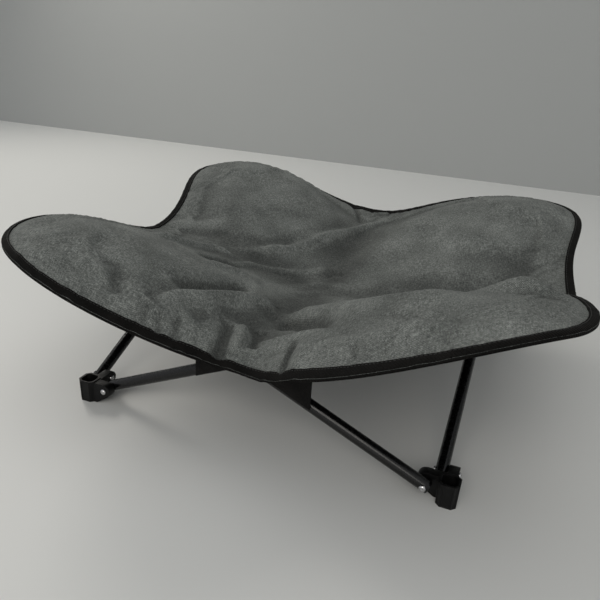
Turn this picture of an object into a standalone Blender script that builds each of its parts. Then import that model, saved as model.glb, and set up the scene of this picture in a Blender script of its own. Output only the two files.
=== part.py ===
"""Folding pet bed: a scissor frame of eight steel tubes between four feet and
four corner hubs, with one padded cover hung over the hubs by corner pockets.

Metres, +Z up. The origin is on the floor under the middle of the frame.
The front side faces -Y and the right side faces +X.
"""
import math

import bmesh
import bpy
import numpy as np
from mathutils import Matrix, Vector

# Order of the corners and sides, anticlockwise from above. Side k runs from corner k to corner k + 1.
CORNERS = ("front_left", "front_right", "rear_right", "rear_left")
SIDES = ("front", "right", "rear", "left")
CORNER_SIGNS = ((-1, -1), (1, -1), (1, 1), (-1, 1))

# Frame, open
FOOT_SPACING = 0.445      # between the middles of neighbouring corners
HUB_PIN_INSET = 0.022     # from a corner's middle to the rivet in each of its lugs
HUB_PIN_HEIGHT = 0.018    # rivet above the hub's closed end
TOP_PIN_HEIGHT = 0.198    # upper rivets above the floor
FIT_GAP = 0.0003          # between pieces that touch

# Tubes
TUBE_DIAMETER = 0.014
TUBE_WALL = 0.0012
TUBE_OVERRUN = 0.006      # tube beyond its end rivets
SPACER_LENGTH = 0.0022    # washer between the two tubes of a cross
SPACER_DIAMETER = 0.011

# Rivets
RIVET_DIAMETER = 0.004
RIVET_HEAD_DIAMETER = 0.008
RIVET_HEAD_HEIGHT = 0.0022
RIVET_HOLE_CLEARANCE = 0.00015

# Corner hub, the same moulding for the feet and, turned over, for the top corners
CUP_WIDTH = 0.023         # at the open end
CUP_CHAMFER = 0.005       # cut off each of its corners, along both sides
CUP_TAPER = 0.0008        # each side draws in this much towards the closed end
CUP_HEIGHT = 0.028
CUP_WALL = 0.0022
CUP_FLOOR = 0.006
CUP_SHIFT = 0.003         # cup outwards of the corner's middle, along each side
LUG_THICKNESS = 0.011
LUG_RADIUS = 0.009
LUG_FOOT_INSET = 0.011    # the lug's flat bottom stops this far short of its rivet

# Cover: one padded sheet with four lobes, and its edge binding
COVER_THICKNESS = 0.007
COVER_EDGE_THICKNESS = 0.0045
COVER_THIN_FROM = 0.75    # the sheet thins out beyond this share of its reach
COVER_EASE = 0.0024       # slack between the cover and its pockets
BINDING_WIDTH = 0.010
BINDING_THICKNESS = 0.0058
LOBE_OVERHANG = (0.0834, 0.1043, 0.0980, 0.1183)     # each lobe's tip beyond its hub, along the diagonal
LOBE_TIP_RISE = (-0.0133, 0.0113, -0.0110, -0.0181)  # each tip above the cover at its hub
LOBE_HUB_SLOPE = (0.08, 0.28, 0.02, 0.02)            # the cover's slope where it lies on the hub
EDGE_OVERHANG = (0.0437, 0.0993, 0.0614, 0.0553)     # each side's edge beyond the line of the frame
EDGE_RISE = (0.0114, 0.0560, 0.0599, 0.0565)         # each side's edge above the tubes' crossing
SADDLE_RISE = (0.0254, 0.0278, 0.0500, 0.0520)       # the cover above the crossing, over the frame
SEAT_RISE = 0.0077        # the cover's lowest middle above the crossing
RIDGE_SWELL = 0.028       # how much wider than a cosine the ridges along the diagonals are
# A lobe's flank is its edge between its tip and the middle of a side. Each side has one at either end
# How far each flank draws in, as a share of its lobe's reach past the waist. Below 0 it swells
FLANK_DRAW = ((-0.043, -0.020), (0.430, 0.272), (0.162, 0.052), (0.210, -0.094))
FLANK_RISE = ((-0.0004, -0.0099), (0.0068, 0.0050), (0.0070, -0.0092), (0.0119, 0.0122))
FLANK_FROM = 0.65         # a flank rises beyond this share of the cover's reach
FOLD_FADE = 0.35          # a fold fades over this share of its length at each end
FOLD_END = 0.15           # and keeps this share of its height there
# Main folds: height, half width, and the points in plan that each runs through
FOLDS = (
    (-0.0050, 0.032, ((0.030, -0.235), (0.037, -0.300))),
    (0.0172, 0.030, ((0.256, -0.215), (0.250, -0.105))),
    (0.0070, 0.013, ((-0.098, -0.268), (-0.069, -0.211), (-0.040, -0.142), (-0.026, -0.126), (-0.006, -0.138))),
    (0.0055, 0.012, ((-0.009, -0.139), (0.018, -0.123), (0.061, -0.157), (0.117, -0.202), (0.168, -0.218))),
    (-0.0065, 0.012, ((0.005, -0.155), (0.039, -0.167), (0.087, -0.225))),
    (0.0055, 0.012, ((-0.136, 0.018), (-0.081, 0.060), (-0.058, 0.092), (-0.017, 0.167), (0.029, 0.260))),
    (-0.0055, 0.010, ((-0.141, -0.098), (-0.130, -0.058), (-0.109, -0.032))),
    (-0.0065, 0.009, ((-0.037, -0.206), (-0.026, -0.252), (-0.025, -0.268))),
)

# Small sewn pieces
POCKET_THICKNESS = 0.0012
POCKET_DEPTH = 0.012
POCKET_MOUTH = 0.0067     # the cap stops this far short of the cup's inner faces, where the lugs leave it
TAB_WIDTH = 0.137
TAB_SHIFT = 0.006         # the tab's middle, right of the crossing
TAB_THICKNESS = 0.0012
TAB_FRONT_GAP = 0.0012    # between the crossing's rivet head and the tab
TAB_SEAM_INSET = 0.006    # the tab is sewn on this far inside the binding
TAB_HEM = 0.004
TAB_OVER_TUBES = 0.010    # the tab ends this far above the crossing tubes' lower edges

# Mesh fineness
TUBE_SIDES = 16
RIVET_SIDES = 10
EDGE_SPOKES = 72
COVER_RINGS = 8
TAB_COLUMNS = 13

# What follows from the sizes above
HALF = FOOT_SPACING / 2
TUBE_RADIUS = TUBE_DIAMETER / 2
TUBE_OFFSET = TUBE_RADIUS + FIT_GAP + SPACER_LENGTH / 2    # tube's axis from the side's middle plane
SIDE_RUN = FOOT_SPACING - 2 * HUB_PIN_INSET
SIDE_RISE = TOP_PIN_HEIGHT - HUB_PIN_HEIGHT
TUBE_SPAN = math.hypot(SIDE_RUN, SIDE_RISE)
TUBE_ANGLE = math.atan2(SIDE_RISE, SIDE_RUN)
CROSSING_HEIGHT = (HUB_PIN_HEIGHT + TOP_PIN_HEIGHT) / 2
HUB_TOP = TOP_PIN_HEIGHT + HUB_PIN_HEIGHT
HUB_RADIUS = HALF * math.sqrt(2)
LUG_FACE = TUBE_OFFSET - TUBE_RADIUS - FIT_GAP            # lug's face beside its tube
HOLE_RADIUS = RIVET_DIAMETER / 2 + RIVET_HOLE_CLEARANCE
POCKET_TOP = HUB_TOP + FIT_GAP + POCKET_THICKNESS


def material(name, colour, roughness, metallic=0.0):
    """A Principled material with one colour, given as 0 to 1 linear values."""
    made = bpy.data.materials.new(name)
    made.use_nodes = True
    shader = made.node_tree.nodes["Principled BSDF"]
    shader.inputs["Base Color"].default_value = (*colour, 1.0)
    shader.inputs["Roughness"].default_value = roughness
    shader.inputs["Metallic"].default_value = metallic
    made.diffuse_color = (*colour, 1.0)
    return made


def add_object(name, mesh, look, matrix=None):
    """Link a named object with its own material slot."""
    made = bpy.data.objects.new(name, mesh)
    if not mesh.materials:
        mesh.materials.append(look)
    if matrix is not None:
        made.matrix_world = matrix
    bpy.context.scene.collection.objects.link(made)
    return made


def mesh_from(points, faces, smooth_below=None):
    """A mesh from points and faces, its normals pointing out."""
    mesh = bpy.data.meshes.new("shape")
    mesh.from_pydata([tuple(p) for p in points], [], faces)
    shape = bmesh.new()
    shape.from_mesh(mesh)
    bmesh.ops.recalc_face_normals(shape, faces=shape.faces)
    shape.to_mesh(mesh)
    shape.free()
    if smooth_below is not None:
        mesh.shade_smooth()
        mesh.set_sharp_from_angle(angle=math.radians(smooth_below))
    return mesh


def prism(outline, low, high, axis="Z", top_outline=None):
    """Extrude an outline from low to high along Z, or along Y for an outline in X and Z."""
    count = len(outline)
    rings = [(outline, low), (top_outline or outline, high)]
    if axis == "Z":
        points = [(a, b, level) for ring, level in rings for a, b in ring]
    else:
        points = [(a, level, b) for ring, level in rings for a, b in ring]
    faces = [list(range(count)), list(range(count, 2 * count))]
    for i in range(count):
        j = (i + 1) % count
        faces.append([i, j, count + j, count + i])
    return mesh_from(points, faces)


def boolean(mesh, other, operation):
    """The Boolean of two meshes, as a new mesh."""
    scene = bpy.context.scene.collection.objects
    target = bpy.data.objects.new("target", mesh)
    cutter = bpy.data.objects.new("cutter", other)
    cutter.hide_render = True
    cutter.display_type = "WIRE"
    scene.link(target)
    scene.link(cutter)
    step = target.modifiers.new("step", "BOOLEAN")
    step.operation = operation
    step.solver = "EXACT"
    step.object = cutter
    graph = bpy.context.evaluated_depsgraph_get()
    result = bpy.data.meshes.new_from_object(target.evaluated_get(graph))
    bpy.data.objects.remove(target)
    bpy.data.objects.remove(cutter)
    return result


def turned(profile, sides):
    """A solid turned about Z from a profile of (radius, height) that starts and ends on the axis."""
    points = [(0.0, 0.0, profile[0][1])]
    for radius, height in profile[1:-1]:
        for i in range(sides):
            angle = 2 * math.pi * i / sides
            points.append((radius * math.cos(angle), radius * math.sin(angle), height))
    points.append((0.0, 0.0, profile[-1][1]))
    last = len(points) - 1
    rings = len(profile) - 2
    faces = []
    for i in range(sides):
        j = (i + 1) % sides
        faces.append([0, 1 + j, 1 + i])
        for ring in range(rings - 1):
            low = 1 + ring * sides
            faces.append([low + i, low + j, low + sides + j, low + sides + i])
        top = 1 + (rings - 1) * sides
        faces.append([top + i, top + j, last])
    return mesh_from(points, faces, smooth_below=40)


def rod(radius, low, high, sides):
    """A plain round bar along Z."""
    return turned([(0, low), (radius, low), (radius, high), (0, high)], sides)


def ring(outer, inner, low, high, sides):
    """A round tube along X with open ends."""
    points = []
    for along, radius in ((low, outer), (high, outer), (high, inner), (low, inner)):
        for i in range(sides):
            angle = 2 * math.pi * (i + 0.5) / sides
            points.append((along, radius * math.cos(angle), radius * math.sin(angle)))
    faces = []
    for loop in range(4):
        a = loop * sides
        b = (loop + 1) % 4 * sides
        for i in range(sides):
            j = (i + 1) % sides
            faces.append([a + i, a + j, b + j, b + i])
    return mesh_from(points, faces, smooth_below=40)


def side_turn(side):
    """The turn about Z that carries the front side to the given side, or its left corner to that one."""
    return Matrix.Rotation(side * math.pi / 2, 4, "Z")


# Tubes: plain round steel tube, cross-drilled for its three rivets
def tube_mesh(shift):
    """A tube along X from its low rivet, moved back by shift, with its holes along Y."""
    mesh = ring(TUBE_RADIUS, TUBE_RADIUS - TUBE_WALL, -TUBE_OVERRUN, TUBE_SPAN + TUBE_OVERRUN, TUBE_SIDES)
    for along in (0.0, TUBE_SPAN / 2, TUBE_SPAN):
        drill = rod(HOLE_RADIUS, -TUBE_DIAMETER, TUBE_DIAMETER, RIVET_SIDES)
        drill.transform(Matrix.Translation((along, 0, 0)) @ Matrix.Rotation(math.pi / 2, 4, "X"))
        mesh = boolean(mesh, drill, "DIFFERENCE")
    mesh.transform(Matrix.Translation((-shift, 0, 0)))
    return mesh


def tube_matrix(side, which, shift):
    """Tube a rises from the side's left foot, inside; tube b rises from its right foot, outside."""
    direction = 1 if which == "a" else -1
    place = Matrix.Translation((-direction * SIDE_RUN / 2, -HALF + direction * TUBE_OFFSET, HUB_PIN_HEIGHT))
    lean = Matrix.Rotation(-TUBE_ANGLE, 4, "Y")
    if which == "b":
        lean = Matrix.Rotation(math.pi, 4, "Z") @ lean
    return side_turn(side) @ place @ lean @ Matrix.Translation((shift, 0, 0))


def add_tubes(look):
    """Each side's first tube turns on a hub's rivet and its second on the crossing's rivet."""
    first_tube = ("a", "a", "b", "b")
    for shift, pick_first in ((0.0, True), (TUBE_SPAN / 2, False)):
        mesh = tube_mesh(shift)
        for side, side_name in enumerate(SIDES):
            for which in "ab":
                if (which == first_tube[side]) == pick_first:
                    add_object(f"{side_name}_tube_{which}", mesh, look, tube_matrix(side, which, shift))


# Corner hub: a square cup, its corners cut off, with a lug for each of its two tubes
def cup_outline(grow):
    """The cup's chamfered square at its open end, grown outwards on every side."""
    half = CUP_WIDTH / 2 + grow
    inner = half - CUP_CHAMFER - grow * (2 - math.sqrt(2))
    points = ((half, -inner), (half, inner), (inner, half), (-inner, half))
    return [(x - CUP_SHIFT, y - CUP_SHIFT) for x, y in points + tuple((-x, -y) for x, y in points)]


def lug_outline():
    """A lug from inside the cup's wall to round its rivet, in X and Z."""
    lug_top = HUB_PIN_HEIGHT + LUG_RADIUS
    points = [(-CUP_SHIFT, 0.0), (HUB_PIN_INSET - LUG_FOOT_INSET, 0.0)]
    for degrees in (-45, -20, 0, 22, 45, 68, 90):
        angle = math.radians(degrees)
        across = HUB_PIN_INSET + LUG_RADIUS * math.cos(angle)
        points.append((across, HUB_PIN_HEIGHT + LUG_RADIUS * math.sin(angle)))
    points.append((-CUP_SHIFT, lug_top))
    return points


def hub_mesh():
    """The hub as a foot: open end up, origin on the floor at the corner's middle, lugs along +X and +Y."""
    mesh = prism(cup_outline(-CUP_TAPER), 0.0, CUP_HEIGHT, top_outline=cup_outline(0.0))
    lug_x = prism(lug_outline(), LUG_FACE - LUG_THICKNESS, LUG_FACE, axis="Y")
    lug_y = lug_x.copy()
    lug_y.transform(Matrix.Rotation(math.pi / 2, 4, "Z"))
    mesh = boolean(mesh, lug_x, "UNION")
    mesh = boolean(mesh, lug_y, "UNION")
    recess = prism(cup_outline(-CUP_TAPER - CUP_WALL), CUP_FLOOR, CUP_HEIGHT + CUP_FLOOR)
    mesh = boolean(mesh, recess, "DIFFERENCE")
    for turn in (Matrix.Identity(4), Matrix.Rotation(math.pi / 2, 4, "Z")):
        drill = rod(HOLE_RADIUS, -2 * LUG_THICKNESS, 2 * LUG_THICKNESS, RIVET_SIDES)
        place = Matrix.Translation((HUB_PIN_INSET, 0, HUB_PIN_HEIGHT)) @ Matrix.Rotation(math.pi / 2, 4, "X")
        drill.transform(turn @ place)
        mesh = boolean(mesh, drill, "DIFFERENCE")
    mesh.shade_smooth()
    mesh.set_sharp_from_angle(angle=math.radians(30))
    return mesh


def foot_matrix(corner):
    """Where a hub stands as a foot."""
    return side_turn(corner) @ Matrix.Translation((-HALF, -HALF, 0))


def top_matrix(corner):
    """Where a hub sits at the top, turned over about its diagonal."""
    turned_over = Matrix(((0, 1, 0, 0), (1, 0, 0, 0), (0, 0, -1, HUB_TOP), (0, 0, 0, 1)))
    return foot_matrix(corner) @ turned_over


def add_hubs(look):
    """Eight hubs, each with its origin on the rivet that it turns on as the frame folds."""
    mesh = hub_mesh()
    foot_turns_on = ("x", "y", "y", "x")
    top_turns_on = ("y", "x", "x", "x")
    kinds = (("foot", foot_turns_on, foot_matrix), ("top_hub", top_turns_on, top_matrix))
    for name, turns_on, matrix_of in kinds:
        for corner, corner_name in enumerate(CORNERS):
            along = (HUB_PIN_INSET, 0) if turns_on[corner] == "x" else (0, HUB_PIN_INSET)
            pin = Matrix.Translation((*along, HUB_PIN_HEIGHT))
            copy = mesh.copy()
            copy.transform(pin.inverted())
            add_object(f"{name}_{corner_name}", copy, look, matrix_of(corner) @ pin)


# Rivets and washers
def rivet_mesh(low, high):
    """A rivet along Y with a domed head at each end of its grip."""
    shank = RIVET_DIAMETER / 2
    head = RIVET_HEAD_DIAMETER / 2
    dome = ((0.0, 1.0), (0.62, 0.78), (1.0, 0.12), (1.0, 0.0))
    profile = [(share * head, low - rise * RIVET_HEAD_HEIGHT) for share, rise in dome]
    profile += [(shank, low), (shank, high)]
    profile += [(share * head, high + rise * RIVET_HEAD_HEIGHT) for share, rise in reversed(dome)]
    mesh = turned(profile, RIVET_SIDES)
    mesh.transform(Matrix.Rotation(-math.pi / 2, 4, "X"))
    return mesh


def add_rivets(look):
    """A rivet for each lug of each hub, and one at each side's crossing."""
    outer_face = TUBE_OFFSET + TUBE_RADIUS + FIT_GAP
    lug_rivet = rivet_mesh(LUG_FACE - LUG_THICKNESS - FIT_GAP, outer_face)
    for name, matrix_of in (("foot", foot_matrix), ("top", top_matrix)):
        for corner, corner_name in enumerate(CORNERS):
            for lug, turn in (("x", Matrix.Identity(4)), ("y", Matrix.Rotation(math.pi / 2, 4, "Z"))):
                pin = Matrix.Translation((HUB_PIN_INSET, 0, HUB_PIN_HEIGHT))
                place = matrix_of(corner) @ turn @ pin
                add_object(f"{name}_rivet_{corner_name}_{lug}", lug_rivet, look, place)
    cross_rivet = rivet_mesh(-outer_face, outer_face)
    for side, side_name in enumerate(SIDES):
        middle = Matrix.Translation((0, -HALF, CROSSING_HEIGHT))
        add_object(f"cross_rivet_{side_name}", cross_rivet, look, side_turn(side) @ middle)


def add_spacers(look):
    """A washer between the two tubes of each cross."""
    mesh = ring(SPACER_DIAMETER / 2, HOLE_RADIUS, -SPACER_LENGTH / 2, SPACER_LENGTH / 2, TUBE_SIDES)
    mesh.transform(Matrix.Rotation(math.pi / 2, 4, "Z"))
    for side, side_name in enumerate(SIDES):
        middle = Matrix.Translation((0, -HALF, CROSSING_HEIGHT))
        add_object(f"cross_spacer_{side_name}", mesh, look, side_turn(side) @ middle)


# Cover: its outline and its height over the floor, both worked out round the middle
def sector(angle):
    """For each angle: its corner, side, end of that side, and 0 on the diagonal to 1 at mid-side."""
    quarter = np.mod(np.degrees(angle) - 225.0, 360.0) / 90.0
    side = np.floor(quarter).astype(int) % 4
    part = quarter - np.floor(quarter)
    end = (part >= 0.5).astype(int)
    return (side + end) % 4, side, end, np.where(part < 0.5, 2 * part, 2 * (1 - part))


def reach(angle):
    """The cover's reach from the middle: long lobes on the diagonals, drawn in along the sides."""
    corner, side, end, off = sector(angle)
    tip = HUB_RADIUS + np.take(LOBE_OVERHANG, corner)
    waist = HALF + np.take(EDGE_OVERHANG, side)
    drawn = np.array(FLANK_DRAW)[side, end]
    share = 0.5 * (1 + np.cos(np.pi * off)) - drawn * np.sin(np.pi * off) ** 2
    return waist + (tip - waist) * share


def rise_and_level(along, length, low, high, end_slope):
    """A smooth climb from a level start to a given height and slope at its end."""
    t = np.clip(along / length, 0, 1)
    return low + (high - low) * t * t * (3 - 2 * t) + end_slope * length * t * t * (t - 1)


def beyond(past, length, rise, slope):
    """A parabola that leaves with a slope and has risen by rise at its length."""
    d = np.maximum(past, 0)
    return slope * d + (rise - slope * length) * (d / length) ** 2


def fold_height(x, y):
    """The main folds: each is a soft ridge or valley along its line that fades out towards its ends."""
    total = np.zeros_like(x)
    for rise, half_width, line in FOLDS:
        line = np.array(line)
        lengths = np.linalg.norm(np.diff(line, axis=0), axis=1)
        whole = lengths.sum()
        nearest = np.full_like(x, np.inf)
        along = np.zeros_like(x)
        start = 0.0
        for (ax, ay), (bx, by), length in zip(line[:-1], line[1:], lengths):
            t = np.clip(((x - ax) * (bx - ax) + (y - ay) * (by - ay)) / length ** 2, 0, 1)
            away = np.hypot(x - ax - t * (bx - ax), y - ay - t * (by - ay))
            along = np.where(away < nearest, start + t * length, along)
            nearest = np.minimum(nearest, away)
            start += length
        inside = np.clip(np.minimum(along, whole - along) / (FOLD_FADE * whole), 0, 1)
        fade = FOLD_END + (1 - FOLD_END) * inside * inside * (3 - 2 * inside)
        total = total + rise * fade * np.exp(-((nearest / half_width) ** 2))
    return total


def cover_top(x, y):
    """Height of the cover's upper face: ridges run from the hubs to the middle, saddles lie between."""
    x = np.asarray(x, float)
    y = np.asarray(y, float)
    angle = np.arctan2(y, x)
    share = np.hypot(x, y) / reach(angle)
    corner, side, end, off = sector(angle)
    seat = CROSSING_HEIGHT + SEAT_RISE
    slope = np.take(LOBE_HUB_SLOPE, corner)
    overhang = np.take(LOBE_OVERHANG, corner)
    on_hub = POCKET_TOP + FIT_GAP + COVER_THICKNESS + COVER_EASE + slope * CUP_WIDTH / 2
    out = share * (HUB_RADIUS + overhang)
    ridge = rise_and_level(out, HUB_RADIUS, seat, on_hub, slope)
    ridge = ridge + beyond(out - HUB_RADIUS, overhang, np.take(LOBE_TIP_RISE, corner), slope)
    past = np.take(EDGE_OVERHANG, side)
    saddle_rise = np.take(SADDLE_RISE, side)
    out = share * (HALF + past)
    saddle = rise_and_level(out, HALF, seat, CROSSING_HEIGHT + saddle_rise, 0.0)
    saddle = saddle + beyond(out - HALF, past, np.take(EDGE_RISE, side) - saddle_rise, 0.0)
    weight = 0.5 * (1 + np.cos(np.pi * off)) + RIDGE_SWELL * np.sin(np.pi * off) ** 2
    near_edge = np.clip((share - FLANK_FROM) / (1 - FLANK_FROM), 0, 1)
    flank = np.array(FLANK_RISE)[side, end] * (np.sin(np.pi * off) * near_edge) ** 2
    return weight * ridge + (1 - weight) * saddle + flank + fold_height(x, y)


def edge_frame():
    """The cover's outline at each spoke, and its outward direction in plan."""
    angle = 2 * np.pi * np.arange(EDGE_SPOKES) / EDGE_SPOKES
    step = 1e-3
    points = reach(angle)[:, None] * np.stack([np.cos(angle), np.sin(angle)], 1)
    ahead = reach(angle + step)[:, None] * np.stack([np.cos(angle + step), np.sin(angle + step)], 1)
    back = reach(angle - step)[:, None] * np.stack([np.cos(angle - step), np.sin(angle - step)], 1)
    along = ahead - back
    along = along / np.linalg.norm(along, axis=1)[:, None]
    return points, np.stack([along[:, 1], -along[:, 0]], 1)


def add_cover(look):
    """The padded sheet: rings of points from its middle to its edge, thinner at the edge."""
    edge, outward = edge_frame()
    rim = edge - outward * (BINDING_WIDTH + FIT_GAP)
    middle = float(cover_top(0.0, 0.0))
    upper = [(0.0, 0.0, middle)]
    lower = [(0.0, 0.0, middle - COVER_THICKNESS)]
    for ring_number in range(1, COVER_RINGS + 1):
        share = ring_number / COVER_RINGS
        plan = rim * share
        top = cover_top(plan[:, 0], plan[:, 1])
        thin = max(0.0, (share - COVER_THIN_FROM) / (1 - COVER_THIN_FROM))
        thickness = COVER_THICKNESS + (COVER_EDGE_THICKNESS - COVER_THICKNESS) * thin
        upper += [(*p, z) for p, z in zip(plan.tolist(), top.tolist())]
        lower += [(*p, z - thickness) for p, z in zip(plan.tolist(), top.tolist())]
    count = len(upper)
    faces = []
    for i in range(EDGE_SPOKES):
        j = (i + 1) % EDGE_SPOKES
        faces.append([0, 1 + i, 1 + j])
        faces.append([count, count + 1 + j, count + 1 + i])
        for loop in range(COVER_RINGS - 1):
            a = 1 + loop * EDGE_SPOKES
            b = a + EDGE_SPOKES
            faces.append([a + i, b + i, b + j, a + j])
            faces.append([count + a + i, count + a + j, count + b + j, count + b + i])
        a = 1 + (COVER_RINGS - 1) * EDGE_SPOKES
        faces.append([a + i, count + a + i, count + a + j, a + j])
    add_object("cover", mesh_from(upper + lower, faces, smooth_below=50), look)


def add_binding(look):
    """The tape sewn round the cover's edge, one closed loop."""
    edge, outward = edge_frame()
    # The folded tape's section, as shares of its width inwards and of its thickness up
    section = ((1.0, 0.5), (0.2, 0.5), (0.0, 0.22), (0.0, -0.22), (0.2, -0.5), (1.0, -0.5))
    loops = []
    for inset, rise in section:
        plan = edge - outward * (inset * BINDING_WIDTH)
        level = cover_top(plan[:, 0], plan[:, 1]) - COVER_EDGE_THICKNESS / 2 + rise * BINDING_THICKNESS
        loops.append(np.column_stack([plan, level]))
    points = np.stack(loops, 1).reshape(-1, 3).tolist()
    size = len(section)
    faces = []
    for i in range(EDGE_SPOKES):
        j = (i + 1) % EDGE_SPOKES
        for k in range(size):
            m = (k + 1) % size
            faces.append([i * size + k, i * size + m, j * size + m, j * size + k])
    add_object("edge_binding", mesh_from(points, faces, smooth_below=50), look)


# Small sewn pieces: the corner pockets and the tab over the front crossing
def pocket_mesh():
    """A shallow fabric cap over a top hub's cup, open where the lugs leave it."""
    shell = prism(cup_outline(FIT_GAP + POCKET_THICKNESS), -POCKET_DEPTH, POCKET_THICKNESS)
    room = prism(cup_outline(FIT_GAP), -2 * POCKET_DEPTH, 0.0)
    shell = boolean(shell, room, "DIFFERENCE")
    mouth = CUP_WIDTH / 2 - CUP_SHIFT - POCKET_MOUTH
    far = 2 * CUP_WIDTH
    opening = prism([(mouth, -far), (far, -far), (far, far), (mouth, far)], -2 * POCKET_DEPTH, 0.0)
    for turn in (Matrix.Identity(4), Matrix.Rotation(math.pi / 2, 4, "Z")):
        cut = opening.copy()
        cut.transform(turn)
        shell = boolean(shell, cut, "DIFFERENCE")
    return shell


def add_pockets(look):
    """One pocket on each top hub."""
    mesh = pocket_mesh()
    for corner, corner_name in enumerate(CORNERS):
        place = foot_matrix(corner) @ Matrix.Translation((0, 0, HUB_TOP + FIT_GAP))
        add_object(f"corner_pocket_{corner_name}", mesh, look, place)


def add_front_tab(look):
    """A fabric tab from under the cover's front edge down over the crossing tubes."""
    columns = TAB_SHIFT + np.linspace(-TAB_WIDTH / 2, TAB_WIDTH / 2, TAB_COLUMNS)
    hang_y = -(HALF + TUBE_OFFSET + TUBE_RADIUS + FIT_GAP + RIVET_HEAD_HEIGHT + TAB_FRONT_GAP)
    sewn_y = -(HALF + EDGE_OVERHANG[0] - BINDING_WIDTH - TAB_SEAM_INSET)
    under = cover_top(columns, np.full_like(columns, sewn_y)) - COVER_THICKNESS - FIT_GAP - TAB_THICKNESS
    tube_axis = CROSSING_HEIGHT - np.abs(columns) * math.tan(TUBE_ANGLE)
    hem = tube_axis - TUBE_RADIUS / math.cos(TUBE_ANGLE) + TAB_OVER_TUBES
    bend = np.maximum(hem + TAB_HEM, np.minimum(under, CROSSING_HEIGHT + TUBE_RADIUS) - TAB_HEM)
    front = []
    half_way = ((sewn_y + hang_y) / 2, (under + bend) / 2)
    for y, level in ((sewn_y, under), half_way, (hang_y, bend), (hang_y, hem)):
        front.append(np.column_stack([columns, np.full_like(columns, y), level]))
    front = np.stack(front, 1)
    back = front + np.array([0.0, TAB_THICKNESS, TAB_THICKNESS])
    back[:, 3, 2] = front[:, 3, 2]
    across = np.concatenate([front, back[:, ::-1]], 1)
    count = across.shape[1]
    faces = [list(range(count)), [(TAB_COLUMNS - 1) * count + k for k in range(count)]]
    for i in range(TAB_COLUMNS - 1):
        for k in range(count):
            m = (k + 1) % count
            faces.append([i * count + k, (i + 1) * count + k, (i + 1) * count + m, i * count + m])
    add_object("front_tab", mesh_from(across.reshape(-1, 3).tolist(), faces, smooth_below=40), look)


def build():
    """Clear the scene and model the bed."""
    for old in list(bpy.data.objects):
        bpy.data.objects.remove(old)
    steel = material("black_enamelled_steel", (0.008, 0.008, 0.009), 0.25, 0.1)
    plastic = material("black_moulded_nylon", (0.012, 0.012, 0.013), 0.45)
    rivet = material("bright_steel", (0.62, 0.62, 0.63), 0.22, 1.0)
    cloth = material("grey_woven_polyester", (0.085, 0.09, 0.088), 0.9)
    tape = material("black_tape", (0.010, 0.010, 0.010), 0.85)
    add_hubs(plastic)
    add_tubes(steel)
    add_rivets(rivet)
    add_spacers(plastic)
    add_cover(cloth)
    add_binding(tape)
    add_pockets(tape)
    add_front_tab(tape)


build()
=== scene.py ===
"""Looks for the folding pet bed: a padded grey cover with black edging on a black scissor frame.

Metres and +Z up, in the CAD's frame: the floor is at 0 and the front faces -Y.
"""
import math

import bmesh
import bpy
import numpy as np
from mathutils import Matrix, Vector


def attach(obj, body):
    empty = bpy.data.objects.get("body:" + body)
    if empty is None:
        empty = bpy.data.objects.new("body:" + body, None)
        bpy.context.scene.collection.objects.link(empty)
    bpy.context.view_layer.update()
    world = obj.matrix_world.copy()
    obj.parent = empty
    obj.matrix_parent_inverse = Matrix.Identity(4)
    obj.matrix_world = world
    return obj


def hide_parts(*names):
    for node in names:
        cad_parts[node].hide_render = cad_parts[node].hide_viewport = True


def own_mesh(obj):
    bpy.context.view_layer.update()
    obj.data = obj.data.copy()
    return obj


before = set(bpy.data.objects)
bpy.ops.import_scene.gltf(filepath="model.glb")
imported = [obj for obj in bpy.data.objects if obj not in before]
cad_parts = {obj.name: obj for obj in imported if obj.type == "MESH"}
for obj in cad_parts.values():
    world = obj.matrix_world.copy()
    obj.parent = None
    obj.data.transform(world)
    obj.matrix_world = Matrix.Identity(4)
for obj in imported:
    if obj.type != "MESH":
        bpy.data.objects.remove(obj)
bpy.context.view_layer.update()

# Tubes: eight lengths of 14 mm steel tube, two crossing on each side like scissors.
# Each is cut, closed with a plastic plug a little inside its rounded rim, and enamelled gloss black.
SIDES = ("front", "right", "rear", "left")
HALF = 0.2225             # from the middle to the line of each side of the frame
PIN_INSET = 0.022         # rivets from the corners, along each side
LOW_PIN = 0.018
HIGH_PIN = 0.198
CROSSING = (LOW_PIN + HIGH_PIN) / 2
TUBE_RADIUS = 0.007
TUBE_WALL = 0.0012
TUBE_OFFSET = 0.0084      # tubes from the middle plane of their side
TUBE_PAST_PIN = 0.006     # tubes run on past their rivets
TUBE_SPAN = math.hypot(2 * (HALF - PIN_INSET), HIGH_PIN - LOW_PIN)
TUBE_ANGLE = math.atan2(HIGH_PIN - LOW_PIN, 2 * (HALF - PIN_INSET))
TUBE_SEGMENTS = 40
PLUG_DEPTH = 0.0025
RIM_ROUNDING = 0.0003


def linear(colour):
    """A colour written as sRGB hex, in the linear values that a shader takes."""
    parts = [int(colour[i:i + 2], 16) / 255 for i in (1, 3, 5)]
    return [p / 12.92 if p <= 0.04045 else ((p + 0.055) / 1.055) ** 2.4 for p in parts] + [1.0]


def feed(tree, node, inputs):
    """Gives each input of a node a value, a hex colour, a socket, or another node's first output in use."""
    for key, value in inputs.items():
        if isinstance(value, bpy.types.Node):
            value = next(output for output in value.outputs if output.enabled)
        if isinstance(value, bpy.types.NodeSocket):
            tree.links.new(value, node.inputs[key])
        else:
            node.inputs[key].default_value = linear(value) if isinstance(value, str) else value


def add_node(tree, kind, inputs, stops=(), **settings):
    """Adds a shader node with its inputs and settings, and a colour ramp's (position, hex colour) stops."""
    made = tree.nodes.new("ShaderNode" + kind)
    for key, value in settings.items():
        setattr(made, key, value)
    feed(tree, made, inputs)
    if stops:
        band = made.color_ramp.elements
        while len(band) < len(stops):
            band.new(0.5)
        for stop, (position, colour) in zip(band, stops):
            stop.position = position
            stop.color = linear(colour)
    return made


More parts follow.
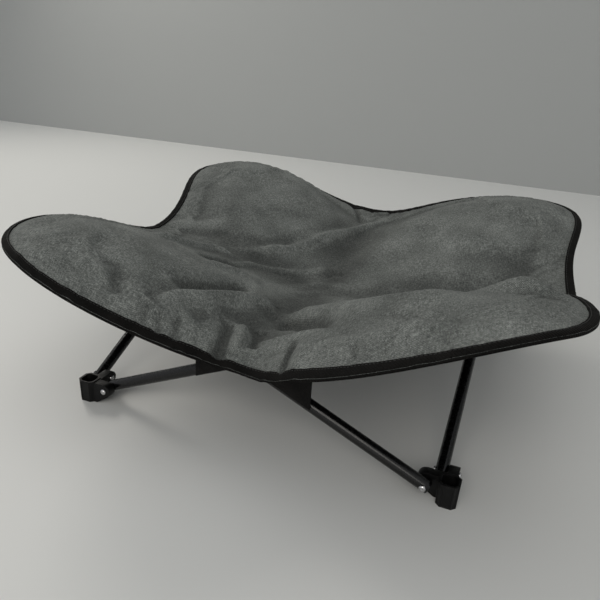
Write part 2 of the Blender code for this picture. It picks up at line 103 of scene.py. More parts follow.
def new_material(name):
    """An empty material: itself, its tree, its Principled shader, and the piece's Object coordinates."""
    made = bpy.data.materials.new(name)
    made.use_nodes = True
    tree = made.node_tree
    return made, tree, tree.nodes["Principled BSDF"], add_node(tree, "TexCoord", {}).outputs["Object"]


def gloss_enamel():
    """Sprayed and baked gloss black enamel: a faint 2.4 mm orange peel, and 5.5 mm scuffs gone dull."""
    made, tree, shader, place = new_material("gloss_black_enamel")
    # A noise texture's scale is 1000 over the size of its spots in millimetres
    scuff = add_node(tree, "TexNoise", {
        "Vector": place, "Scale": 1000 / 5.55, "Detail": 5.0, "Roughness": 0.7,
    })
    peel = add_node(tree, "TexNoise", {"Vector": place, "Scale": 1000 / 2.38, "Detail": 1.0})
    feed(tree, shader, {
        "Base Color": add_node(tree, "ValToRGB", {"Fac": scuff}, ((0.4, "#030303"), (0.75, "#0a0a0b"))),
        "Roughness": add_node(tree, "MapRange", {"Value": scuff, "From Min": 0.35, "From Max": 0.8,
                                                 "To Min": 0.16, "To Max": 0.42}),
        "Normal": add_node(tree, "Bump", {"Height": peel, "Distance": 0.00006}),
        "Specular IOR Level": 0.35, "Coat Weight": 0.15, "Coat Roughness": 0.08,
    })
    return made


def grid_faces(rows, columns, closed_columns=False):
    """Quads of a grid of rows by columns points, whose rows may each close on themselves."""
    r, c = np.arange(rows - 1), np.arange(columns if closed_columns else columns - 1)
    r, c = [a.ravel() for a in np.meshgrid(r, c, indexing="ij")]
    nxt = (c + 1) % columns
    return np.stack([r * columns + c, r * columns + nxt, (r + 1) * columns + nxt, (r + 1) * columns + c], 1)


def end_faces(rows, columns):
    """The two faces that close the first and last row of a grid whose rows are rings."""
    ring = np.arange(columns)
    return np.stack([ring[::-1], (rows - 1) * columns + ring])


def solid(name, points, faces, look, ends=None, normals=None, smooth_below=None):
    """A piece from arrays of points and faces, with ends as a second array of faces with more corners."""
    mesh = bpy.data.meshes.new(name)
    points = np.asarray(points, np.float32).reshape(-1, 3)
    groups = [np.asarray(group, np.int32) for group in (faces, ends) if group is not None]
    sizes = np.concatenate([np.full(len(group), group.shape[1], np.int32) for group in groups])
    mesh.vertices.add(len(points))
    mesh.vertices.foreach_set("co", points.ravel())
    mesh.loops.add(int(sizes.sum()))
    mesh.loops.foreach_set("vertex_index", np.concatenate([group.ravel() for group in groups]))
    mesh.polygons.add(len(sizes))
    mesh.polygons.foreach_set("loop_start", (np.cumsum(sizes) - sizes).astype(np.int32))
    mesh.update(calc_edges=True)
    mesh.materials.append(look)
    mesh.shade_smooth()
    if smooth_below is not None:
        mesh.set_sharp_from_angle(angle=math.radians(smooth_below))
    if normals is not None:
        mesh.normals_split_custom_set_from_vertices(np.asarray(normals).reshape(-1, 3).tolist())
    made = bpy.data.objects.new(name, mesh)
    bpy.context.scene.collection.objects.link(made)
    return made


def turned(name, profile, start, direction, segments, look, smooth_below):
    """A closed piece turned about a line: start + s along it + r around it, for each (s, r) in profile."""
    direction = np.array(direction, float) / np.linalg.norm(direction)
    across = np.cross(direction, [0.0, 0.0, 1.0] if abs(direction[2]) < 0.9 else [1.0, 0.0, 0.0])
    across = across / np.linalg.norm(across)
    other = np.cross(direction, across)
    along, radius = np.array(profile).T[..., None, None]
    turn = np.linspace(0, 2 * math.pi, segments, endpoint=False)
    spoke = np.cos(turn)[:, None] * across + np.sin(turn)[:, None] * other
    points = start + along * direction + radius * spoke
    rows = len(profile)
    return solid(name, points, grid_faces(rows, segments, closed_columns=True), look,
                 ends=end_faces(rows, segments), smooth_below=smooth_below)


def rotated(side):
    """The turn about Z that carries the front side to this side."""
    turn = side * math.pi / 2
    return np.array([[math.cos(turn), -math.sin(turn), 0], [math.sin(turn), math.cos(turn), 0], [0, 0, 1]])


def fit(piece, node, body):
    """Puts a piece in its CAD node's place, on the body that carries it."""
    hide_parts(node)
    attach(piece, body)


enamel = gloss_enamel()
bore = TUBE_RADIUS - TUBE_WALL
# From the plug's middle, out over its lip and the tube's rim: (in from the tube's end, radius)
end_shape = (
    (PLUG_DEPTH, 0.0005), (PLUG_DEPTH, bore - 0.0002), (0.0012, bore), (0.0002, bore),
    (0.0, bore + RIM_ROUNDING), (0.0, TUBE_RADIUS - RIM_ROUNDING), (RIM_ROUNDING, TUBE_RADIUS),
)
first_end = [(inward - TUBE_PAST_PIN, radius) for inward, radius in end_shape]
last_end = [(TUBE_SPAN - along, radius) for along, radius in reversed(first_end)]
tube_profile = first_end + [(along, TUBE_RADIUS) for along in np.linspace(0.0, TUBE_SPAN, 24)] + last_end
for side, side_name in enumerate(SIDES):
    for which, way in (("a", 1), ("b", -1)):
        low = (-way * (HALF - PIN_INSET), -HALF + way * TUBE_OFFSET, LOW_PIN)
        rise = (way * math.cos(TUBE_ANGLE), 0, math.sin(TUBE_ANGLE))
        name = f"{side_name}_tube_{which}"
        tube = turned(name + "_enamelled", tube_profile, rotated(side) @ low, rotated(side) @ rise,
                      TUBE_SEGMENTS, enamel, smooth_below=45)
        fit(tube, name, name)


# Rivets: plated steel pins, one through each lug and its tube and one through each crossing.
# Each is closed over into domed heads 8 mm across, with a small dimple where the tool pressed.
CORNERS = ("front_left", "front_right", "rear_right", "rear_left")
CLEARANCE = 0.0003
OUTER_FACE = TUBE_OFFSET + TUBE_RADIUS + CLEARANCE
LUG_FACE = 0.0011
LUG_THICKNESS = 0.011
PIN_RADIUS = 0.002
RIVET_SEGMENTS = 24
# From the dimple over the dome to the head's inner face, in mm: (rise, radius)
HEAD = ((2.0, 0.05), (1.95, 0.9), (2.2, 1.3), (2.1, 1.9), (1.75, 2.8), (1.1, 3.55), (0.35, 3.95), (0.0, 3.9))


def plated_steel():
    """Bright zinc-plated steel: fine tumbling scratches 1.1 mm long and 0.3 mm across break its shine."""
    made, tree, shader, place = new_material("plated_steel")
    sizes = (1.11, 1.11, 0.3125)
    drawn_out = add_node(tree, "Mapping", {"Vector": place, "Scale": [1000 / mm for mm in sizes]})
    scratch = add_node(tree, "TexNoise", {"Vector": drawn_out, "Scale": 1.0, "Detail": 3.0})
    feed(tree, shader, {
        "Base Color": add_node(tree, "ValToRGB", {"Fac": scratch}, ((0.35, "#a9a9aa"), (0.7, "#dcdcdd"))),
        "Metallic": 1.0,
        "Roughness": add_node(tree, "MapRange", {"Value": scratch, "From Min": 0.3, "From Max": 0.75,
                                                 "To Min": 0.14, "To Max": 0.38}),
        "Normal": add_node(tree, "Bump", {"Height": scratch, "Distance": 0.00003}),
    })
    return made


plated = plated_steel()


def rivet(node, body, centre, direction, low, high):
    """A rivet on a line through centre, its heads' inner faces at low and high along direction."""
    head = np.array(HEAD) / 1000
    profile = [(low - rise, radius) for rise, radius in head] + [(low, PIN_RADIUS), (high, PIN_RADIUS)]
    profile += [(high + rise, radius) for rise, radius in head[::-1]]
    piece = turned(node + "_head", profile, centre, direction, RIVET_SEGMENTS, plated, smooth_below=50)
    fit(piece, node, body)


for turn, corner in enumerate(CORNERS):
    for kind, hub_name, level, over in (("foot", "foot", LOW_PIN, False), ("top", "top_hub", HIGH_PIN, True)):
        for lug in "xy":
            # Of the front left corner, a foot's x rivet crosses the front side, and a top hub's the left side
            if (lug == "x") != over:
                centre = (-HALF + PIN_INSET, -HALF, level)
                direction = (0, -1 if over else 1, 0)
            else:
                centre = (-HALF, -HALF + PIN_INSET, level)
                direction = (1 if over else -1, 0, 0)
            rivet(f"{kind}_rivet_{corner}_{lug}", f"{hub_name}_{corner}", rotated(turn) @ centre,
                  rotated(turn) @ direction, LUG_FACE - LUG_THICKNESS - CLEARANCE, OUTER_FACE)
for side, side_name in enumerate(SIDES):
    rivet(f"cross_rivet_{side_name}", side_name + ("_tube_a" if side < 2 else "_tube_b"),
          rotated(side) @ (0, -HALF, CROSSING), rotated(side) @ (0, -1, 0), -OUTER_FACE, OUTER_FACE)


# Feet, top hubs and washers: black injection-moulded nylon. Each hub is a square cup with its corners
# cut off and a lug for each tube, and the flat faces of the cup are sunk a little inside a rim.
SIGNS = {"front_left": (-1, -1), "front_right": (1, -1), "rear_right": (1, 1), "rear_left": (-1, 1)}
CUP_SHIFT = 0.003                     # the cups' middles stand this far outside the frame's corners
PANEL_AWAY = (0.010, 0.014)           # a panel's middle from the cup's middle
PANEL_AREA = 1.7e-4                   # the smaller faces have no panel
PANEL_RIM = 0.0018
PANEL_STEP = 0.0004
PANEL_DEPTH = 0.0006
EDGE_ROUNDING = 0.0004


def moulded_nylon():
    """Satin moulded nylon: a spark-eroded grain of 0.4 mm, and 7 mm patches that handling has rubbed dull.

    The real grain is about half as wide, and is drawn so coarse that it shows.
    """
    made, tree, shader, place = new_material("black_moulded_nylon_look")
    patch = add_node(tree, "TexNoise", {
        "Vector": place, "Scale": 1000 / 7.14, "Detail": 4.0, "Roughness": 0.65,
    })
    eroded = add_node(tree, "TexNoise", {"Vector": place, "Scale": 1000 / 0.385, "Detail": 1.0})
    feed(tree, shader, {
        "Base Color": add_node(tree, "ValToRGB", {"Fac": patch}, ((0.38, "#050505"), (0.72, "#0d0d0e"))),
        "Roughness": add_node(tree, "MapRange", {"Value": patch, "From Min": 0.3, "From Max": 0.8,
                                                 "To Min": 0.34, "To Max": 0.58}),
        "Normal": add_node(tree, "Bump", {"Height": eroded, "Distance": 0.00012}),
        "Specular IOR Level": 0.22,
    })
    return made


def faceted(node):
    """A CAD node's shape with its loose triangles merged back into flat faces."""
    shape = bmesh.new()
    shape.from_mesh(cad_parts[node].data)
    bmesh.ops.remove_doubles(shape, verts=shape.verts, dist=1e-6)
    bmesh.ops.dissolve_limit(shape, angle_limit=math.radians(1), verts=shape.verts, edges=shape.edges)
    return shape


def rounded(name, shape, look, width):
    """A piece from a shape, smooth, with a bevel of the given width, and that bevel's modifier."""
    mesh = bpy.data.meshes.new(name)
    shape.to_mesh(mesh)
    shape.free()
    mesh.materials.clear()
    mesh.materials.append(look)
    mesh.shade_smooth()
    made = bpy.data.objects.new(name, mesh)
    bpy.context.scene.collection.objects.link(made)
    edge = made.modifiers.new("edge", "BEVEL")
    edge.width = width
    edge.segments = 2
    return made, edge


nylon = moulded_nylon()
for corner, (a, b) in SIGNS.items():
    cup_middle = Vector((a * (HALF + CUP_SHIFT), b * (HALF + CUP_SHIFT), 0))
    for kind in ("foot", "top_hub"):
        name = f"{kind}_{corner}"
        shape = faceted(name)
        panels = []
        for face in shape.faces:
            away = face.calc_center_median() - cup_middle
            away.z = 0
            upright = abs(face.normal.z) < 0.2 and away.dot(face.normal) > 0
            if upright and len(face.verts) == 4 and face.calc_area() > PANEL_AREA:
                if PANEL_AWAY[0] < away.length < PANEL_AWAY[1]:
                    panels.append(face)
        bmesh.ops.inset_individual(shape, faces=panels, thickness=PANEL_RIM, depth=0.0)
        bmesh.ops.inset_individual(shape, faces=panels, thickness=PANEL_STEP, depth=-PANEL_DEPTH)
        moulding, edge = rounded(name + "_moulding", shape, nylon, EDGE_ROUNDING)
        edge.limit_method = "ANGLE"
        edge.angle_limit = math.radians(28)
        edge.harden_normals = True
        fit(moulding, name, name)
for side_name in SIDES:
    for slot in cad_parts["cross_spacer_" + side_name].material_slots:
        slot.material = nylon


# Cover: heather grey polyester canvas over a thin padding, with a black lining below. It is sewn as one
# piece with four lobes, and hangs from the four top hubs, so ridges run in from them and the middle sags.
# Each row of numbers goes by corner from the front left, or by side from the front, as the CAD has them.
COVER_THICKNESS = 0.007
EDGE_THICKNESS = 0.0045
EDGE_THINS_OVER = 0.075   # the padding thins towards the edge over this distance
HUB_RADIUS = HALF * math.sqrt(2)
HUB_TOP = HIGH_PIN + LOW_PIN
LOBE_OVERHANG = (0.0834, 0.1043, 0.0980, 0.1183)
LOBE_TIP_RISE = (-0.0133, 0.0113, -0.0110, -0.0181)
LOBE_HUB_SLOPE = (0.08, 0.28, 0.02, 0.02)
EDGE_OVERHANG = (0.0437, 0.0993, 0.0614, 0.0553)
EDGE_RISE = (0.0114, 0.0560, 0.0599, 0.0565)
SADDLE_RISE = (0.0254, 0.0278, 0.0500, 0.0520)
SEAT = CROSSING + 0.0077
RIDGE_SWELL = 0.028
# At the first and the second half of each side
FLANK_DRAW = np.array(((-0.043, -0.020), (0.430, 0.272), (0.162, 0.052), (0.210, -0.094)))
FLANK_RISE = np.array(((-0.0004, -0.0099), (0.0068, 0.0050), (0.0070, -0.0092), (0.0119, 0.0122)))
FLANK_FROM = 0.65
COVER_OVER_HUB = 0.0112   # the cover's upper face over the hub's closed end, before its slope
CUP_WIDTH = 0.023
YARN_PITCH = 0.001
CLOTH_TURN = math.radians(-9)      # the yarns lie 9 degrees off the sides' line
PAINTED_SHADE_RELIEF = 0.0025                # a crest this high above the smoothed form has a painted shade value of 0.88, a faint painted highlight
PAINTED_SHADE_ROUNDS = 70                    # of smoothing, which then reaches about 20 mm

# The photographed folds, in mm: height, half widths left and right of the line, and the line's points
FOLDS = (
    (-5.0, 32, 32, ((30, -235), (37, -300))),
    (17.2, 30, 30, ((256, -215), (250, -105))),
    # The front left lobe: its crest, the crease beside it, and the hollows between them
    (8.5, 6, 7, ((-203, -117), (-179, -85), (-162, -16), (-126, -10))),
    (4.6, 4, 7, ((-124, -57), (-111, -8), (-72, 12), (-51, 20))),
    (-8.5, 7, 7, ((-141, -98), (-130, -58), (-109, -32))),
    (2.9, 6, 5, ((-65, 10), (-42, 33), (-11, 67))),
    (5.9, 5, 8.5, ((-117, -123), (-109, -97), (-97, -74), (-72, -73))),
    (-14.0, 12, 11, ((-104, -222), (-90, -200), (-76, -169), (-62, -112))),
    (2.6, 5, 7.5, ((-86, -40), (-57, -98), (-38, -141))),
    (-4.5, 12, 12, ((-160, -250), (-139, -268), (-126, -290))),
    (2.6, 10, 10, ((-136, -241), (-118, -256), (-111, -277))),
    (2.6, 12, 10, ((-243, -302), (-214, -296), (-182, -289))),
    # The front: two crests that run out of the seat, and what lies between them
    (11.0, 7, 14, ((-98, -268), (-86, -244), (-69, -211), (-54, -173), (-40, -142), (-26, -126), (-6, -138))),
    (-3.9, 7.5, 7.5, ((-34, -152), (-22, -141), (-6, -153))),
    (14.0, 9, 26, ((-14, -136), (18, -123), (61, -157), (117, -202), (168, -218), (214, -213))),
    (-8.0, 12, 12, ((8, -92), (60, -126), (112, -168), (170, -190), (220, -188))),
    (-15.0, 9, 12, ((-2, -150), (20, -160), (44, -176), (84, -222))),
    (7.0, 6, 8, ((11, -228), (30, -220), (54, -223), (94, -251))),
    (1.6, 1.7, 1.7, ((1, -159), (20, -176), (49, -217))),
    (-2.0, 7.5, 7.5, ((-59, -205), (-37, -190), (-9, -186))),
    (1.8, 7.5, 7.5, ((-61, -223), (-38, -214), (-10, -214))),
    # Gathers at the front edge, from left to right
    (-3.1, 5, 5, ((-101, -270), (-97, -280), (-95, -291))),
    (2.6, 5, 5, ((-93, -270), (-88, -279), (-85, -289))),
    (-3.9, 4, 4, ((-87, -270), (-83, -280), (-81, -289))),
    (-3.2, 5, 5, ((-74, -257), (-68, -270), (-66, -281))),
    (2.6, 6, 6, ((-63, -247), (-56, -262), (-52, -275))),
    (-10.4, 7, 7, ((-37, -206), (-32, -230), (-26, -252), (-25, -268))),
    (5.9, 7, 7, ((-21, -203), (-13, -232), (-9, -254))),
    (-6.5, 7, 7, ((-9, -186), (-1, -218), (5, -241))),
    (-8.5, 4, 4, ((50, -231), (52, -250), (54, -270), (55, -278))),
    (3.2, 6, 6, ((68, -250), (70, -270), (73, -286))),
    (-2.9, 4, 4, ((128, -286), (131, -300), (132, -310))),
    (2.1, 6, 6, ((140, -292), (143, -304), (145, -315))),
    (-2.6, 4, 4, ((158, -295), (159, -306), (160, -316))),
    (-2.3, 4, 4, ((209, -303), (209, -315), (210, -323))),
    # The rear and the right: a crest to the rear right hub, puckers at the rear edge, and soft waves
    (8.5, 10, 7, ((-136, 18), (-102, 33), (-81, 60), (-58, 92), (-17, 167), (29, 260))),
    (-3.2, 12, 12, ((-169, 23), (-116, 42), (-78, 101))),
    (-4.5, 5, 5, ((-55, 295), (-32, 260), (-11, 215))),
    (3.9, 5, 5, ((-10, 272), (22, 272))),
    (-3.2, 4, 4, ((-17, 281), (5, 269), (26, 270))),
    (2.9, 8.5, 10, ((-269, 17), (-220, 37), (-169, 52))),
    (-2.6, 8.5, 8.5, ((-245, 9), (-201, 20), (-158, 38))),
    (2.0, 13.5, 13.5, ((118, 127), (191, 103), (257, 117))),
    (-2.3, 13.5, 13.5, ((77, 116), (169, 81), (247, 94))),
    (-2.1, 6, 6, ((136, -240), (197, -284), (243, -285))),
    (1.8, 6, 6, ((163, -279), (215, -302), (265, -292))),
    # The seat
    (-3.4, 4, 4, ((-11, 41), (-5, 60), (15, 54))),
    (2.0, 7.5, 7.5, ((-40, -19), (-13, 21), (30, 27))),
    (-2.0, 7.5, 7.5, ((-27, -58), (1, -10), (41, 3))),
)
FOLD_FADE = 0.18          # a fold fades over this share of its length at each end
FOLD_END = 0.12           # and keeps this share of its height there


def sector(angle):
    """For each angle: its corner, side, end of that side, and 0 on the diagonal to 1 at mid-side."""
    quarter = np.mod(np.degrees(angle) - 225.0, 360.0) / 90.0
    side = np.floor(quarter).astype(int) % 4
    part = quarter - np.floor(quarter)
    end = (part >= 0.5).astype(int)
    return (side + end) % 4, side, end, np.where(part < 0.5, 2 * part, 2 * (1 - part))


def reach(angle):
    """The cover's reach from the middle: a cosine from each lobe's tip to the waist at each mid-side."""
    corner, side, end, off = sector(angle)
    tip = HUB_RADIUS + np.take(LOBE_OVERHANG, corner)
    waist = HALF + np.take(EDGE_OVERHANG, side)
    share = 0.5 * (1 + np.cos(np.pi * off)) - FLANK_DRAW[side, end] * np.sin(np.pi * off) ** 2
    return waist + (tip - waist) * share


def climb(along, length, low, high, end_slope):
    """A cubic rise from low, level, to high, where it has end_slope."""
    t = np.clip(along / length, 0, 1)
    return low + (high - low) * t * t * (3 - 2 * t) + end_slope * length * t * t * (t - 1)


def beyond(past, length, rise, slope):
    """A parabola that leaves with the given slope and has risen by rise at length."""
    d = np.maximum(past, 0)
    return slope * d + (rise - slope * length) * (d / length) ** 2


def plain_height(x, y):
    """The upper face without its folds: ridges and saddles, blended by a cosine of the angle between."""
    angle = np.arctan2(y, x)
    share = np.hypot(x, y) / reach(angle)
    corner, side, end, off = sector(angle)
    slope = np.take(LOBE_HUB_SLOPE, corner)
    overhang = np.take(LOBE_OVERHANG, corner)
    out = share * (HUB_RADIUS + overhang)
    ridge = climb(out, HUB_RADIUS, SEAT, HUB_TOP + COVER_OVER_HUB + slope * CUP_WIDTH / 2, slope)
    ridge = ridge + beyond(out - HUB_RADIUS, overhang, np.take(LOBE_TIP_RISE, corner), slope)
    past = np.take(EDGE_OVERHANG, side)
    saddle_rise = np.take(SADDLE_RISE, side)
    out = share * (HALF + past)
    saddle = climb(out, HALF, SEAT, CROSSING + saddle_rise, 0.0)
    saddle = saddle + beyond(out - HALF, past, np.take(EDGE_RISE, side) - saddle_rise, 0.0)
    weight = 0.5 * (1 + np.cos(np.pi * off)) + RIDGE_SWELL * np.sin(np.pi * off) ** 2
    near_edge = np.clip((share - FLANK_FROM) / (1 - FLANK_FROM), 0, 1)
    flank = FLANK_RISE[side, end] * (np.sin(np.pi * off) * near_edge) ** 2
    return weight * ridge + (1 - weight) * saddle + flank


def fold_height(x, y):
    """The sum of the folds, each a bell curve of the distance from its line that fades towards its ends."""
    total = np.zeros_like(x)
    for rise, left, right, line in FOLDS:
        line = np.array(line) / 1000
        lengths = np.linalg.norm(np.diff(line, axis=0), axis=1)
        whole = lengths.sum()
        nearest = np.full_like(x, np.inf)
        along, turned = np.zeros_like(x), np.zeros_like(x)
        start = 0.0
        for (ax, ay), (bx, by), length in zip(line[:-1], line[1:], lengths):
            t = np.clip(((x - ax) * (bx - ax) + (y - ay) * (by - ay)) / length ** 2, 0, 1)
            off_x, off_y = x - ax - t * (bx - ax), y - ay - t * (by - ay)
            away = np.hypot(off_x, off_y)
            closer = away < nearest
            along = np.where(closer, start + t * length, along)
            turned = np.where(closer, ((bx - ax) * off_y - (by - ay) * off_x) / length, turned)
            nearest = np.minimum(nearest, away)
            start += length
        # The two half widths blend across the line, so the fold has no step beyond its ends
        share = 0.5 + 0.5 * np.clip(turned / np.maximum(nearest, 1e-6), -1, 1)
        half_width = (right + (left - right) * share) / 1000
        inside = np.clip(np.minimum(along, whole - along) / (FOLD_FADE * whole), 0, 1)
        fade = FOLD_END + (1 - FOLD_END) * inside * inside * (3 - 2 * inside)
        total += rise / 1000 * fade * np.exp(-((nearest / half_width) ** 2))
    return total


def height(x, y):
    """The upper face with its folds."""
    return plain_height(x, y) + fold_height(x, y)


def heather_canvas():
    """Canvas in a plain weave, each yarn of it streaked light and dark for some 3 mm along its length.

    The yarns are drawn 1 mm apart, about twice as coarse as real ones, so that they show. Painted shade
    darkens the colour in the creases of folds, and a faint painted highlight lightens their crests.
    """
    made, tree, shader, place = new_material("grey_heather_cloth")
    yarns = add_node(tree, "Mapping", {"Vector": place, "Rotation": (0, 0, CLOTH_TURN)})
    waves = []
    for way in "XY":
        # A wave texture repeats each pi / (10 Scale) metres, here once for two yarns
        wave = add_node(tree, "TexWave", {
            "Vector": yarns, "Scale": math.pi / (20 * YARN_PITCH), "Distortion": 1.5, "Detail": 2.0,
            "Detail Scale": 0.6,
        }, bands_direction=way)
        waves.append(add_node(tree, "Math", {0: wave.outputs["Fac"], 1: 0.5}, operation="SUBTRACT"))
    over = add_node(tree, "Math", {0: waves[0], 1: waves[1]}, operation="MULTIPLY")
    streaks = []
    for sizes, fineness in (((3.33, 0.909, 33.3), 0.6), ((1.11, 3.85, 33.3), 0.5)):
        drawn_out = add_node(tree, "Mapping", {"Vector": yarns, "Scale": [1000 / mm for mm in sizes]})
        streaks.append(add_node(tree, "TexNoise", {"Vector": drawn_out, "Scale": 1.0, "Roughness": fineness}))
    along, across = streaks
    cloud = add_node(tree, "TexNoise", {"Vector": yarns, "Scale": 1000 / 45.5, "Detail": 3.0})
    tone = add_node(tree, "Math", {0: along, 1: 0.44}, operation="MULTIPLY")
    for pattern, weight in ((across, 0.32), (cloud, 0.24), (over, 0.28)):
        tone = add_node(tree, "Math", {0: pattern, 1: weight, 2: tone}, operation="MULTIPLY_ADD")
    greys = ((0.38, "#434644"), (0.47, "#5c5f5d"), (0.53, "#676a67"), (0.63, "#888c89"))
    colour = add_node(tree, "ValToRGB", {"Fac": tone}, greys)
    # Painted shade and highlight: a value for each point, 0 in the folds' hollows and 1 on their crests,
    # darkens or lightens the colour
    painted_fold_shade = add_node(tree, "Attribute", {}, attribute_name="painted_fold_shade").outputs["Fac"]
    painted_shade_tint = add_node(tree, "ValToRGB", {"Fac": painted_fold_shade}, ((0.0, "#b4b4b4"), (0.5, "#f2f2f2"), (1.0, "#ffffff")))
    # Inputs 0, 6 and 7 of a colour mix are its share and its two colours
    colour = add_node(tree, "Mix", {0: 1.0, 6: colour, 7: painted_shade_tint}, data_type="RGBA", blend_type="MULTIPLY")
    yarn_height = add_node(tree, "Math", {0: over, 1: 1.4, 2: along}, operation="MULTIPLY_ADD")
    feed(tree, shader, {
        "Base Color": colour, "Roughness": 0.9, "Specular IOR Level": 0.2,
        "Normal": add_node(tree, "Bump", {"Height": yarn_height, "Distance": 0.00025}),
        "Sheen Weight": 0.08, "Sheen Roughness": 0.5, "Sheen Tint": "#c8ccc8",
    })
    return made


def black_weave(name, dark, light, rib_spacing):
    """Black woven polyester, as tape or as lining: fine slanting ribs, and a little dust in 17 mm clouds.

    The ribs are drawn about three times as coarse as real ones, so that they show.
    """
    made, tree, shader, place = new_material(name)
    sizes = (1.11, 1.11, 2.0)
    drawn_out = add_node(tree, "Mapping", {"Vector": place, "Scale": [1000 / mm for mm in sizes]})
    fibre = add_node(tree, "TexNoise", {"Vector": drawn_out, "Scale": 1.0})
    dust = add_node(tree, "TexNoise", {"Vector": place, "Scale": 1000 / 16.7})
    tone = add_node(tree, "Math", {0: fibre, 1: 0.6}, operation="MULTIPLY")
    tone = add_node(tree, "Math", {0: dust, 1: 0.4, 2: tone}, operation="MULTIPLY_ADD")
    # Diagonal bands repeat each pi / (5 Scale sqrt 3) metres
    ribs = {"Vector": place, "Scale": math.pi / (5 * math.sqrt(3) * rib_spacing), "Distortion": 0.6}
    rib = add_node(tree, "TexWave", ribs, bands_direction="DIAGONAL").outputs["Fac"]
    relief = add_node(tree, "Math", {0: rib, 1: fibre}, operation="ADD")
    feed(tree, shader, {
        "Base Color": add_node(tree, "ValToRGB", {"Fac": tone}, ((0.35, dark), (0.65, light))),
        "Roughness": 0.85, "Specular IOR Level": 0.08,
        "Normal": add_node(tree, "Bump", {"Height": relief, "Distance": 0.00025}),
        "Sheen Weight": 0.02, "Sheen Roughness": 0.4, "Sheen Tint": "#b8b8b4",
    })
    return made


def disc(u, v):
    """The plan point of each point of a square grid from -1 to 1: its corners go to the lobes' tips.

    x = u sqrt(1 - v v / 2) and y = v sqrt(1 - u u / 2) make the square a disc, which reach then stretches.
    """
    x = u * np.sqrt(1 - v * v / 2)
    y = v * np.sqrt(1 - u * u / 2)
    angle = np.arctan2(y, x)
    out = reach(angle) * np.hypot(x, y)
    return out * np.cos(angle), out * np.sin(angle)


def finer(values):
    """Twice as many cells along both axes, each new point (9 (b + c) - a - d) / 16 of its four neighbours."""
    for axis in (0, 1):
        values = np.moveaxis(values, axis, 0)
        padded = np.concatenate([2 * values[:1] - values[1:2], values, 2 * values[-1:] - values[-2:-1]])
        made = np.empty((2 * len(values) - 1,) + values.shape[1:])
        made[0::2] = values
        made[1::2] = (9 * (padded[1:-2] + padded[2:-1]) - padded[:-3] - padded[3:]) / 16
        values = np.moveaxis(made, 0, axis)
    return values


CELLS = 96                # of the simulated grid; the shown one has twice as many
SETTLING_STEPS = 24
SPARE_CLOTH = 0.03        # the cloth is cut this share too large, so it buckles
SETTLE_LIMIT = 0.0045     # how far a point may move
HELD_FROM = 0.80          # of the reach; from here out the edge is more and more held
HELD_OVER = 0.14
HUB_HELD = (0.045, 0.020)      # the hubs hold the cloth from this far, more and more over that
HELD_LEAST = 0.05


def settle(points):
    """How far each point of the cloth moves when it buckles and sags, held at its edge and its hubs."""
    made = solid("settling", points, grid_faces(CELLS + 1, CELLS + 1), cloth)
    x, y = points[..., 0].ravel(), points[..., 1].ravel()
    share = np.hypot(x, y) / reach(np.arctan2(y, x))
    hub = np.min([np.hypot(x - HALF * a, y - HALF * b) for a, b in SIGNS.values()], axis=0)
    by_edge = np.clip((share - HELD_FROM) / HELD_OVER, 0, 1)
    by_hub = np.clip((HUB_HELD[0] - hub) / HUB_HELD[1], 0, 1)
    hold = HELD_LEAST + (1 - HELD_LEAST) * np.maximum(by_edge, by_hub)
    group = made.vertex_groups.new(name="hold")
    for index, weight in enumerate(hold):
        group.add([index], float(weight), "REPLACE")
    cloth_step = made.modifiers.new("cloth", "CLOTH")
    settings = cloth_step.settings
    settings.quality = 6
    settings.mass = 0.2
    settings.tension_stiffness = 20
    settings.compression_stiffness = 20
    settings.shear_stiffness = 10
    settings.bending_stiffness = 1.5
    settings.shrink_min = -SPARE_CLOTH
    settings.vertex_group_mass = "hold"
    settings.pin_stiffness = 1.0
    settings.effector_weights.gravity = 0.4
    cloth_step.point_cache.frame_start = 1
    cloth_step.point_cache.frame_end = SETTLING_STEPS
    scene = bpy.context.scene
    for step in range(1, SETTLING_STEPS + 1):
        scene.frame_set(step)
    mesh = made.evaluated_get(bpy.context.evaluated_depsgraph_get()).to_mesh()
    moved = np.empty(points.size, np.float32)
    mesh.vertices.foreach_get("co", moved)
    scene.frame_set(1)
    bpy.data.objects.remove(made)
    shift = moved.reshape(points.shape) - points
    size = np.linalg.norm(shift, axis=-1, keepdims=True)
    return shift * (SETTLE_LIMIT * np.tanh(size / SETTLE_LIMIT) / np.maximum(size, 1e-9))


def cover_grid(cells):
    """The plan points of a square grid over the whole cover, and its plain and folded upper face."""
    along = np.linspace(-1, 1, cells + 1)
    x, y = disc(*np.meshgrid(along, along))
    return x, y, np.stack([x, y, height(x, y)], -1)


def gathers(turn):
    """Small uneven puckers along the seam, 9 to 20 mm apart, from -1 to 1: four sines whose swell varies."""
    total = np.zeros_like(turn)
    for count, size, start in ((113, 0.45, 0.4), (157, 0.35, 2.1), (211, 0.25, 4.0), (83, 0.35, 1.3)):
        total += size * np.sin(count * turn + start)
    return total * (0.55 + 0.45 * np.sin(7 * turn + 0.8) * np.sin(11 * turn + 2.0))


TAPE_WIDTH = 0.010
FRONT_TAPE_WIDTH = 0.0072  # as it shows along the front, where the padding swells over it
FRONT_TAPE_FROM = (0.66, 0.12)       # the cosine of the angle from the front at the step, and its softness


def tape_width(turn):
    """How wide the tape shows at each angle: a soft step, by tanh, to its narrower front."""
    step, softness = FRONT_TAPE_FROM
    front = 0.5 + 0.5 * np.tanh((np.cos(turn + math.pi / 2) - step) / softness)
    return TAPE_WIDTH + (FRONT_TAPE_WIDTH - TAPE_WIDTH) * front


